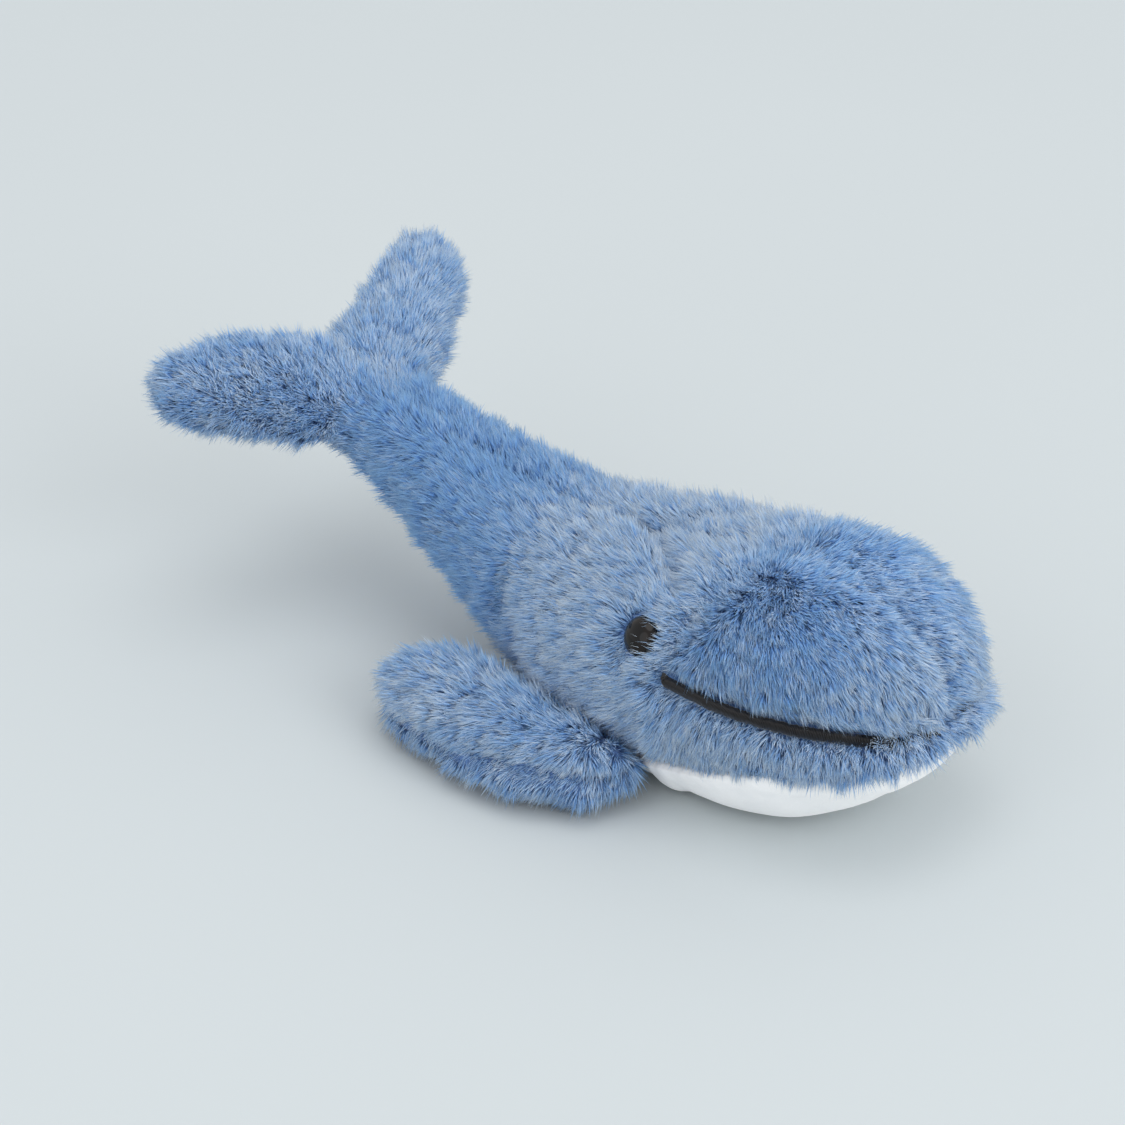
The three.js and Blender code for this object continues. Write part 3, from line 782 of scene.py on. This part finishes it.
def pile_group(name, fibres, per_mm2, tufts_per_mm2, width, pull):
    """A node group that grows fibres on a skin that carries the attributes of the nap."""
    tree = bpy.data.node_groups.new(name, "GeometryNodeTree")
    tree.interface.new_socket("Geometry", in_out="INPUT", socket_type="NodeSocketGeometry")
    tree.interface.new_socket("Geometry", in_out="OUTPUT", socket_type="NodeSocketGeometry")

    def first(kind, inputs=None, **settings):
        return node(tree, kind, inputs, **settings).outputs[0]

    def read(attribute, kind="FLOAT"):
        reader = node(tree, "GeometryNodeInputNamedAttribute", {"Name": attribute}, data_type=kind)
        return out(reader, "Attribute")

    def maths(operation, *values):
        return first("ShaderNodeMath", dict(enumerate(values)), operation=operation)

    def vectors(operation, *values):
        return first("ShaderNodeVectorMath", dict(enumerate(values)), operation=operation)

    def times(vector, factor):
        return first("ShaderNodeVectorMath", {"Vector": vector, "Scale": factor}, operation="SCALE")

    def chance(low, high, seed, group=None, kind="FLOAT"):
        values = {"Min": low, "Max": high, "Seed": seed}
        if group is not None:
            values["ID"] = group
        return out(node(tree, "FunctionNodeRandomValue", values, data_type=kind), "Value")

    def scatter(count, seed):
        density = maths("MULTIPLY", read("thick"), count / MM**2)
        values = {"Mesh": skin, "Density": density, "Seed": seed}
        return out(node(tree, "GeometryNodeDistributePointsOnFaces", values), "Points")

    skin = first("NodeGroupInput")
    points = scatter(per_mm2, 3)
    tufts = scatter(tufts_per_mm2, 8)
    here = first("GeometryNodeInputPosition")
    tuft = first("GeometryNodeSampleNearest", {"Geometry": tufts, "Sample Position": here})
    sample = {"Geometry": tufts, "Value": here, "Index": tuft}
    middle = out(node(tree, "GeometryNodeSampleIndex", sample, data_type="FLOAT_VECTOR"), "Value")
    nap_here = read("nap", "FLOAT_VECTOR")
    leaning = vectors("ADD", read("up", "FLOAT_VECTOR"), times(nap_here, read("lean")))
    tuft_turn = chance((-0.42,) * 3, (0.42,) * 3, 21, tuft, "FLOAT_VECTOR")
    fibre_turn = chance((-0.4,) * 3, (0.4,) * 3, 22, None, "FLOAT_VECTOR")
    drawn_in = times(vectors("SUBTRACT", middle, here), pull / MM)
    way = vectors("ADD", vectors("ADD", leaning, drawn_in), vectors("ADD", tuft_turn, fibre_turn))
    standing = first("FunctionNodeAlignRotationToVector", {"Vector": way}, axis="Z")
    bent_along = {"Rotation": standing, "Vector": nap_here}
    turned = first("FunctionNodeAlignRotationToVector", bent_along, axis="X", pivot_axis="Z")
    uneven = maths("MULTIPLY", read("pile_length"), chance(0.5, 1.14, 31))
    long = maths("MULTIPLY", uneven, chance(0.72, 1.16, 32, tuft))
    size = first("ShaderNodeCombineXYZ", {"X": long, "Y": width, "Z": long})
    kinds = first("GeometryNodeCollectionInfo", {"Collection": fibres, "Separate Children": True})
    planted = first(
        "GeometryNodeInstanceOnPoints",
        {
            "Points": points,
            "Instance": kinds,
            "Pick Instance": True,
            "Instance Index": chance(0, len(fibres.objects) - 1, 41, None, "INT"),
            "Rotation": turned,
            "Scale": size,
        },
    )
    # Each fibre and tuft adds a random tone to the tint of the skin, which carries painted shade on the tail
    # stock.
    dye = maths("ADD", read("tint"), maths("ADD", chance(-0.3, 0.3, 51), chance(-0.34, 0.34, 52, tuft)))
    dye = maths("MINIMUM", maths("MAXIMUM", dye, 0.03), 0.97)
    dye_kept = {"Geometry": planted, "Name": "dye", "Value": dye}
    dyed = first("GeometryNodeStoreNamedAttribute", dye_kept, domain="INSTANCE")
    real = first("GeometryNodeRealizeInstances", {"Geometry": dyed})
    place = vectors("MAXIMUM", here, (-FAR, -FAR, ABOVE_FLOOR))
    above = first("GeometryNodeSetPosition", {"Geometry": real, "Position": place})
    beside = first("ShaderNodeCombineXYZ", {"X": read("dye")})
    spot = vectors("ADD", read("OFBake", "FLOAT_VECTOR"), beside)
    map_kept = {"Geometry": above, "Name": "OFBake", "Value": spot}
    mapped = first("GeometryNodeStoreNamedAttribute", map_kept, data_type="FLOAT2", domain="CORNER")
    tree.links.new(mapped, node(tree, "NodeGroupOutput").inputs[0])
    return tree


THINNING = 1.0
long_pile = pile_group(
    "long pile", blue_fibres, per_mm2=9.0 * THINNING, tufts_per_mm2=0.3, width=0.24 * MM, pull=0.075
)
print("pile group", long_pile.name)

# %% [markdown]
# ## The cover, panel by panel
#
# Each panel is a thin sewn skin, solid from backing to knit, and it stands for its solid in the frame. Its pile
# is a piece of its own that moves with it. The tail's skin bends with the tail, because fabric crosses the
# joint there, and so does the skin of the flukes.

# %% Knit backing
# Fine rows of loops, seen only where the pile parts.
blue_knit, tree, shader = new_material("blue knit", Roughness=0.9, Sheen_Weight=0.2)
place = node(tree, "ShaderNodeTexCoord").outputs["Object"]
rows = {"Vector": place, "Scale": 900.0, "Distortion": 3.0, "Detail": 1.0}
loops = node(tree, "ShaderNodeTexWave", rows, wave_type="BANDS")
two_tone(tree, shader, out(loops, "Fac"), (96, 136, 200), (112, 152, 210))
bumpy(tree, shader, out(loops, "Fac"), strength=0.4, distance=0.2 * MM)
print("backing", blue_knit.name)

# %% White pile
white_pile, tree, shader = new_material("white pile", Roughness=0.85, Sheen_Weight=0.6, Sheen_Roughness=0.4)
clipped = mottled(tree, 1500.0, Detail=3.0)
brushed = mottled(tree, 140.0, Detail=2.0)
both = node(tree, "ShaderNodeMath", {0: brushed, 1: 0.6, 2: clipped}, operation="MULTIPLY_ADD")
two_tone(tree, shader, brushed, (240, 242, 244), (252, 252, 252))
bumpy(tree, shader, both.outputs[0], strength=0.35, distance=0.3 * MM)
print("belly", white_pile.name)

# %% Panels and their pile
SKIN = 1.2 * MM
TAIL_BEND = ((0, 0.074, 0.0435), (0, 0.0945, 0.05))
FLUKE_BEND = ((0, 0.1095, 0.053), (0, 0.130, 0.062))
CHEEK_ENDS = 14 * MM
KEPT_ATTRIBUTES = ("position", "OFBake", "material_index")


def carry(piece, panel):
    """Makes a piece of cover move as the panel does."""
    if "tail" in panel or panel == "body_stuffing":
        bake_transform(piece, "body", "tail", start=TAIL_BEND[0], end=TAIL_BEND[1])
    elif "fluke" in panel:
        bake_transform(piece, "tail", "flukes", start=FLUKE_BEND[0], end=FLUKE_BEND[1])
    elif "fin" in panel:
        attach(piece, "_".join(panel.split("_")[:2]))
    else:
        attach(piece, "body")


def cut_out(panel, low=-FAR, high=FAR):
    """A bmesh of the faces of one panel, or of a stretch of it along the whale."""
    bm = bmesh.new()
    bm.from_mesh(form.data)
    layer = bm.faces.layers.int["panel"]
    number = PANELS.index(panel)
    rest = [f for f in bm.faces if f[layer] != number or not low <= f.calc_center_median().y < high]
    bmesh.ops.delete(bm, geom=rest, context="FACES")
    return bm


def grown(name, bm, group):
    """The pile of a cut-out, as a mesh of real fibres."""
    piece = new_object(name, bm)
    piece.modifiers.new("pile", "NODES").node_group = group
    bake_modifiers(piece)
    for attribute in [a.name for a in piece.data.attributes if a.name not in KEPT_ATTRIBUTES]:
        layer = piece.data.attributes.get(attribute)
        if layer is not None and not layer.is_required and not attribute.startswith("."):
            piece.data.attributes.remove(layer)
    piece.data.shade_smooth()
    return piece


fibres_grown = 0
for panel in PANELS:
    belly = panel == "belly_panel"
    skin = new_object(panel.replace("_panel", "_skin"), cut_out(panel))
    if not belly:
        fewer = skin.modifiers.new("fewer faces under the pile", "DECIMATE")
        fewer.ratio = 0.35
    wall = skin.modifiers.new("thickness", "SOLIDIFY")
    wall.thickness = SKIN
    wall.offset = -1
    bake_modifiers(skin)
    skin.data.materials.append(white_pile if belly else blue_knit)
    stretches = {"": (-FAR, FAR)}
    if belly:
        stretches = {}
    elif "side" in panel:
        stretches = {"_cheek": (-FAR, CHEEK_ENDS), "_flank": (CHEEK_ENDS, FAR)}
    pieces = [skin]
    for part, (low, high) in stretches.items():
        pieces.append(grown(panel.replace("_panel", part + "_pile"), cut_out(panel, low, high), long_pile))
        fibres_grown += len(pieces[-1].data.vertices) // 4
    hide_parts(panel)
    for piece in pieces:
        carry(piece, panel)
print("fibres grown", fibres_grown)

# %% [markdown]
# ## The mouth
#
# The smile is sewn on as a satin stitch: threads laid side by side across the lip seam, so close that they
# make one raised black cord. The middle of the cord is found by shooting rays from inside the head at the solid
# that stands for it. Every thread is then a stretched, low-count sphere across that line, which is all a thread
# half a millimetre thick can show. At the front the cord sinks in between the lips.

# %% Line of the lips
MIDDLE_OF_HEAD = (0, -38, 44)
LOOK_LOWER = (0, 0.6, 1.2, 1.8, 2.4)
STITCH_STEP = 0.42 * MM


def lip_line(side_name, skin_tree, count):
    """The middle of the sewn cord and the skin's direction there, from the mouth's corner to the front."""
    cord = solid_tree(f"{side_name}_mouth_stitching")
    line = []
    for angle in np.linspace(math.radians(-40), math.radians(89), count):
        middle = Vector(MIDDLE_OF_HEAD) * MM
        way = Vector((SIDES[side_name] * math.cos(angle), -math.sin(angle), 0))
        lip = skin_tree.ray_cast(middle, way)[0]
        for drop in LOOK_LOWER:
            middle.z = (float(mouth_height(lip.y / MM)) - drop) * MM
            near = cord.ray_cast(middle, way)[0]
            if near is not None:
                break
        if near is not None:
            far = cord.ray_cast(near + way * 0.01 * MM, way)[0] or near
            spot = (near + far) / 2
            line.append((spot, skin_tree.find_nearest(spot)[1]))
    return line


def walk(line, step):
    """The same line at even steps: each place, the direction along it and the direction out of the skin."""
    points = np.array([point for point, _ in line])
    normals = np.array([normal for _, normal in line])
    run = np.concatenate([[0], np.cumsum(np.linalg.norm(np.diff(points, axis=0), axis=1))])
    marks = np.arange(0, run[-1], step)
    places = np.column_stack([np.interp(marks, run, points[:, i]) for i in range(3)])
    out_of_skin = unit(np.column_stack([np.interp(marks, run, normals[:, i]) for i in range(3)]))
    along = unit(np.gradient(places, axis=0))
    return places, along, out_of_skin


form_tree = BVHTree.FromObject(form, bpy.context.evaluated_depsgraph_get())
lips = {name: walk(lip_line(name, form_tree, count=160), STITCH_STEP) for name in SIDES}
cord_gap = [form_tree.find_nearest(Vector(spot))[3] / MM for spot in lips["right"][0]]
print("mouth", {name: len(line[0]) for name, line in lips.items()}, "threads")
print("cord", round(float(np.mean(cord_gap)), 1), "mm from the skin")

# %% Black thread
black_thread, tree, shader = new_material("black thread", Roughness=0.42, Sheen_Weight=0.3, Sheen_Roughness=0.3)
plies = mottled(tree, 1400.0, Detail=2.0)
two_tone(tree, shader, plies, (10, 10, 12), (38, 37, 40))
bumpy(tree, shader, plies, strength=0.5, distance=0.12 * MM)
print("thread", black_thread.name)

# %% Satin stitches
STITCH_WIDTH = 3.7 * MM
STITCH_HEIGHT = 2.4 * MM
THREAD = 0.5 * MM
SLANT = 0.12
WANDER = 0.3 * MM
SUNK_AT_FRONT = 3.4 * MM

for name, (spots, along, raised) in lips.items():
    bm = bmesh.new()
    for number, (spot, forward, up) in enumerate(zip(spots, along, raised)):
        forward = Vector(forward)
        across = Vector(up).cross(forward).normalized()
        up = forward.cross(across)
        ends = min(1.0, 0.5 + 0.1 * number)
        slant = across + forward * SLANT
        axes = (slant * STITCH_WIDTH / 2 * ends, forward * THREAD / 2, up * STITCH_HEIGHT)
        wander = noise.noise(Vector(spot) * 900) * WANDER
        sunk = SUNK_AT_FRONT * float(ease(-spot[1] / MM, 64, 77))
        middle = Vector(spot) + across * wander - up * sunk
        laid = Matrix.Translation(middle) @ Matrix(axes).transposed().to_4x4()
        bmesh.ops.create_uvsphere(bm, u_segments=6, v_segments=5, radius=1, matrix=laid)
    bmesh.ops.recalc_face_normals(bm, faces=bm.faces)
    for face in bm.faces:
        face.smooth = True
    stitches = new_object(f"{name}_mouth_stitches", bm)
    stitches.data.materials.append(black_thread)
    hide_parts(f"{name}_mouth_stitching")
    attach(stitches, "body")
print("stitches", round(STITCH_WIDTH / MM, 1), "mm wide")

# %% [markdown]
# ## The eyes
#
# A safety eye is a moulded dome with a dark brown iris, a thin rim, and a shank that goes through the cover to
# a washer inside. A dome is a turned shape, so half its outline is spun round the axis. Each vertex keeps how
# far it is from the middle, and the material turns that into pupil, iris and rim.

# %% Eye plastic
eye_plastic, tree, shader = new_material("eye plastic", Roughness=0.08, Specular_IOR_Level=0.3)
from_middle = node(tree, "ShaderNodeAttribute", attribute_name="from_middle").outputs["Fac"]
flecks = mottled(tree, 700.0, Detail=3.0)
wavy = node(tree, "ShaderNodeMath", {0: flecks, 1: 0.05, 2: from_middle}, operation="MULTIPLY_ADD")
rings = node(tree, "ShaderNodeValToRGB", {"Fac": wavy.outputs[0]})
stops = rings.color_ramp.elements
stops[0].position, stops[0].color = 0.52, srgb(6, 6, 7)
stops[1].position, stops[1].color = 0.58, srgb(15, 10, 8)
for position, colour in ((0.78, srgb(18, 12, 9)), (0.88, srgb(10, 8, 7)), (0.93, srgb(6, 6, 7))):
    stop = stops.new(position)
    stop.color = colour
tree.links.new(rings.outputs["Color"], shader.inputs["Base Color"])
print("eye", len(stops), "rings")

# %% Safety eyes
DOME = 4.2 * MM
RIM = 1.1 * MM
SHANK = 9 * MM
SHANK_RADIUS = 1.7 * MM
ROUNDED = 0.35 * MM

for name, (place, axis) in eyes.items():
    bm = bmesh.new()
    outline = [(EYE_RADIUS * math.sin(t), RIM + DOME * math.cos(t)) for t in np.linspace(0, math.pi / 2, 16)]
    outline += [(EYE_RADIUS, ROUNDED), (EYE_RADIUS - ROUNDED, 0)]
    outline += [(SHANK_RADIUS, 0), (SHANK_RADIUS, -SHANK), (0, -SHANK)]
    corners = [bm.verts.new((across, 0, up)) for across, up in outline]
    edges = [bm.edges.new(pair) for pair in zip(corners, corners[1:])]
    bmesh.ops.spin(
        bm, geom=corners + edges, cent=(0, 0, 0), axis=(0, 0, 1), angle=math.tau, steps=40, use_merge=True
    )
    bmesh.ops.remove_doubles(bm, verts=bm.verts, dist=0.005 * MM)
    bmesh.ops.recalc_face_normals(bm, faces=bm.faces)
    ring = bm.verts.layers.float.new("from_middle")
    for vertex in bm.verts:
        across = math.hypot(vertex.co.x, vertex.co.y) / EYE_RADIUS
        vertex[ring] = across if vertex.co.z > 0.2 * MM else 1.0
    bmesh.ops.transform(bm, matrix=stood_on(place, axis), verts=bm.verts)
    for face in bm.faces:
        face.smooth = True
    eye = new_object(f"{name}_safety_eye", bm)
    eye.data.materials.append(eye_plastic)
    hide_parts(f"{name}_eye")
    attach(eye, "body")
print("eyes stand", round((RIM + DOME) / MM, 1), "mm above the cover")

# %% [markdown]
# ## What is inside
#
# Nobody sees the stuffing or the washers of a finished toy, but a clipped or opened one shows them. The
# stuffing is loose polyester fibre, so its solids are rounded, made a little lumpy and kept under the cover.
# It bends as the cover does, and it is thinner at the flukes' bend and behind the lips, where it would show.
# The washers are plain moulded rings and keep the solids of the frame, with a milky plastic.

# %% Stuffing and washers
fibre_fill, tree, shader = new_material("fibre fill", Roughness=0.95, Sheen_Weight=0.5)
wisps = mottled(tree, 260.0, Detail=6.0, Distortion=1.5)
two_tone(tree, shader, wisps, (214, 214, 212), (250, 250, 250))
bumpy(tree, shader, wisps, strength=0.8, distance=1 * MM)

UNDER_COVER = 1.5 * MM
THINNER_AT_FLUKES = 4 * MM
THINNER_AT_LIPS = 5 * MM
DRAWN_IN = 1.0 * MM
LUMPS = 0.3 * MM
for stuffing in STUFFINGS:
    wad = new_object(stuffing.replace("stuffing", "wadding"), merged_copy(stuffing))
    shrink = wad.modifiers.new("clear of the cover", "DISPLACE")
    shrink.strength = -DRAWN_IN
    shrink.mid_level = 0
    finer = wad.modifiers.new("round", "SUBSURF")
    finer.levels = finer.render_levels = 2 if stuffing == "body_stuffing" else 1
    bake_modifiers(wad)
    for vertex in wad.data.vertices:
        nearest, outward_there, _, _ = form_tree.find_nearest(vertex.co)
        depth = (nearest - vertex.co).dot(outward_there)
        wanted = UNDER_COVER + LUMPS * (1 + noise.noise(vertex.co * 160))
        across, along, _ = vertex.co / MM
        if stuffing == "tail_stuffing":
            wanted += THINNER_AT_FLUKES * ease(along, 102, 112)
        wanted += THINNER_AT_LIPS * ease(-along, 55, 68) * (1 - ease(abs(across), 6, 18))
        vertex.co += outward_there * min(0, depth - wanted)
    wad.data.shade_smooth()
    wad.data.materials.append(fibre_fill)
    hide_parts(stuffing)
    carry(wad, stuffing)

washer_plastic, tree, shader = new_material("washer plastic", Roughness=0.45, Subsurface_Weight=0.1)
two_tone(tree, shader, mottled(tree, 300.0), (214, 216, 212), (236, 236, 232))
for name in SIDES:
    washer = frame["nodes"][f"{name}_eye_washer"]
    washer.data.materials.clear()
    washer.data.materials.append(washer_plastic)
print("wadding", len(STUFFINGS), "pieces")

# %% [markdown]
# ## Floor and light
#
# The whale lies on a pale, cool floor under one large soft lamp, with two more in front and at its right side,
# and a bright even sky for the shadows. The levels are plain: a colour comes out about as bright as it is
# written.

# %% Floor and light
FLOOR_REACH = 2.5
SKY_COLOUR = (0.98, 0.985, 1.0, 1)
SKY_STRENGTH = 0.92
LAMPS_FACE = (0, 0.04, 0.04)

bm = bmesh.new()
bmesh.ops.create_grid(bm, x_segments=8, y_segments=8, size=FLOOR_REACH)
floor = new_object("floor", bm)
floor_paint, tree, shader = new_material("floor paint", Roughness=0.85, Specular_IOR_Level=0.1)
two_tone(tree, shader, mottled(tree, 3.0), (195, 202, 204), (198, 205, 207))
floor.data.materials.append(floor_paint)

world = bpy.data.worlds.new("sky")
scene.world = world
world.use_nodes = True
sky = world.node_tree.nodes["Background"]
sky.inputs["Color"].default_value = SKY_COLOUR
sky.inputs["Strength"].default_value = SKY_STRENGTH


def soft_lamp(name, place, size, power):
    """A large round lamp that faces the whale."""
    data = bpy.data.lights.new(name, "AREA")
    data.shape = "DISK"
    data.size = size
    data.energy = power
    lamp = bpy.data.objects.new(name, data)
    lamp.location = place
    lamp.rotation_euler = (Vector(LAMPS_FACE) - lamp.location).to_track_quat("-Z", "Y").to_euler()
    scene.collection.objects.link(lamp)


soft_lamp("top lamp", (-0.2, -0.2, 3.0), size=2.2, power=16)
soft_lamp("front lamp", (-0.3, -2.6, 1.6), size=2.0, power=27)
soft_lamp("side lamp", (-2.5, -0.2, 1.5), size=2.2, power=8)
scene.view_settings.view_transform = "Standard"
print("three soft lamps")

# %% End
bpy.data.objects.remove(form)
for obj in list(blue_fibres.objects):
    bpy.data.objects.remove(obj)
bpy.data.collections.remove(blue_fibres)
